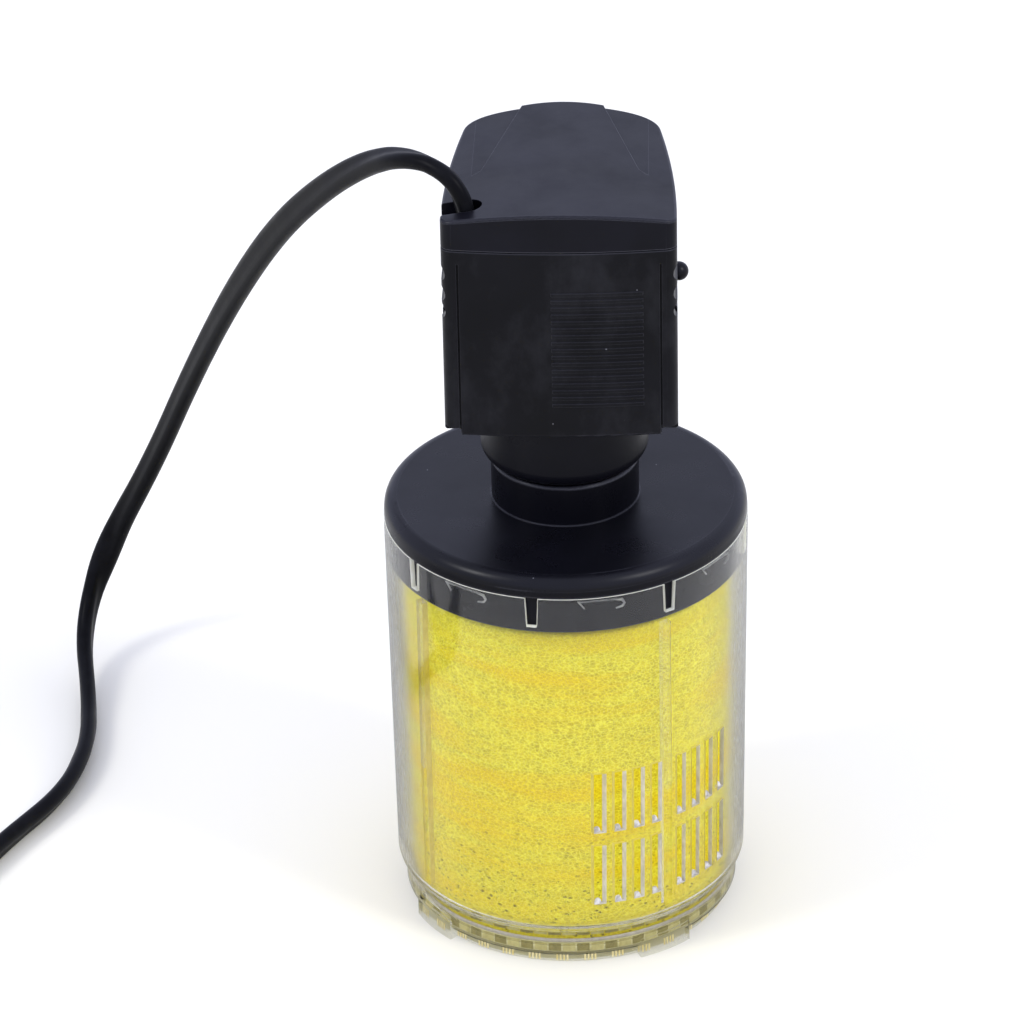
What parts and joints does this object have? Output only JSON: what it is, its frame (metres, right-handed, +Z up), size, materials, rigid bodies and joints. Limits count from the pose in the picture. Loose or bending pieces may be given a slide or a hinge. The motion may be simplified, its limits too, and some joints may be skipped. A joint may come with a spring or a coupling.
{
  "type": "internal aquarium power filter",
  "caption": "Upright internal aquarium filter: clear slotted canister with a foam cylinder, lift-off lid, and a swivelling motor head with a tilted outlet.",
  "frame": {"origin": "centre of the canister's foot ring, on the surface it stands on", "axes": "+Z up along the canister's axis, -Y towards the flat rear face of the motor head, +Y along the outlet, +X towards the flow knob"},
  "size_m": [0.3063, 0.21, 0.2177],
  "materials": {
    "clear_plastic": "gloss",
    "foam": "matte",
    "black_plastic": "satin",
    "seal_rubber": "matte",
    "core_steel": "satin",
    "copper_wire": "satin",
    "nylon": "satin",
    "resin": "satin",
    "ferrite": "matte",
    "impeller_plastic": "satin",
    "ceramic_white": "polished",
    "cord_pvc": "satin",
    "pin_metal": "polished"
  },
  "bodies": {
    "canister": {"canister": "clear_plastic", "sponge": "foam"},
    "lid": {"lid": "black_plastic", "intake_grille": "black_plastic"},
    "pump_base": {"spigot_seal": "seal_rubber"},
    "pump_head": {"inlet_neck": "black_plastic", "impeller_cover": "black_plastic", "bottom_plate": "black_plastic", "motor_housing": "black_plastic", "motor_cap": "black_plastic", "stator_core": "core_steel", "bobbin_left": "nylon", "winding_left": "copper_wire", "bobbin_right": "nylon", "winding_right": "copper_wire", "potting": "resin", "rotor_shaft": "ceramic_white", "lower_bush": "ceramic_white", "upper_bush": "ceramic_white", "cord_gland": "seal_rubber", "power_cord": "cord_pvc", "cord_coil": "cord_pvc", "coil_tie": "cord_pvc", "cord_tail": "cord_pvc", "plug_body": "cord_pvc", "plug_pin_left": "pin_metal", "plug_pin_right": "pin_metal"},
    "rotor": {"rotor_magnet": "ferrite", "impeller": "impeller_plastic"},
    "flow_control": {"flow_spindle": "black_plastic", "spindle_seal": "seal_rubber"},
    "nozzle": {"outlet_nozzle": "black_plastic", "nozzle_seal": "seal_rubber"}
  },
  "joints": [
    {"name": "lid_lift", "type": "slide", "parent": "canister", "child": "lid", "axis": [0, 0, 1], "range_m": [0, 0.04]},
    {"name": "pump_lift", "type": "slide", "parent": "lid", "child": "pump_base", "axis": [0, 0, 1], "range_m": [0, 0.03]},
    {"name": "head_swivel", "type": "hinge", "parent": "pump_base", "child": "pump_head", "pos_m": [0, 0, 0.1155], "axis": [0, 0, 1], "range_deg": [-180, 180]},
    {"name": "rotor_spin", "type": "hinge", "parent": "pump_head", "child": "rotor", "pos_m": [0, 0, 0.17], "axis": [0, 0, 1], "continuous": true},
    {"name": "flow_turn", "type": "hinge", "parent": "pump_head", "child": "flow_control", "pos_m": [0.02, 0.0275, 0.1598], "axis": [1, 0, 0], "range_deg": [0, 90]},
    {"name": "nozzle_turn", "type": "hinge", "parent": "pump_head", "child": "nozzle", "pos_m": [0, 0.045, 0.1598], "axis": [0, 1, 0], "continuous": true}
  ]
}
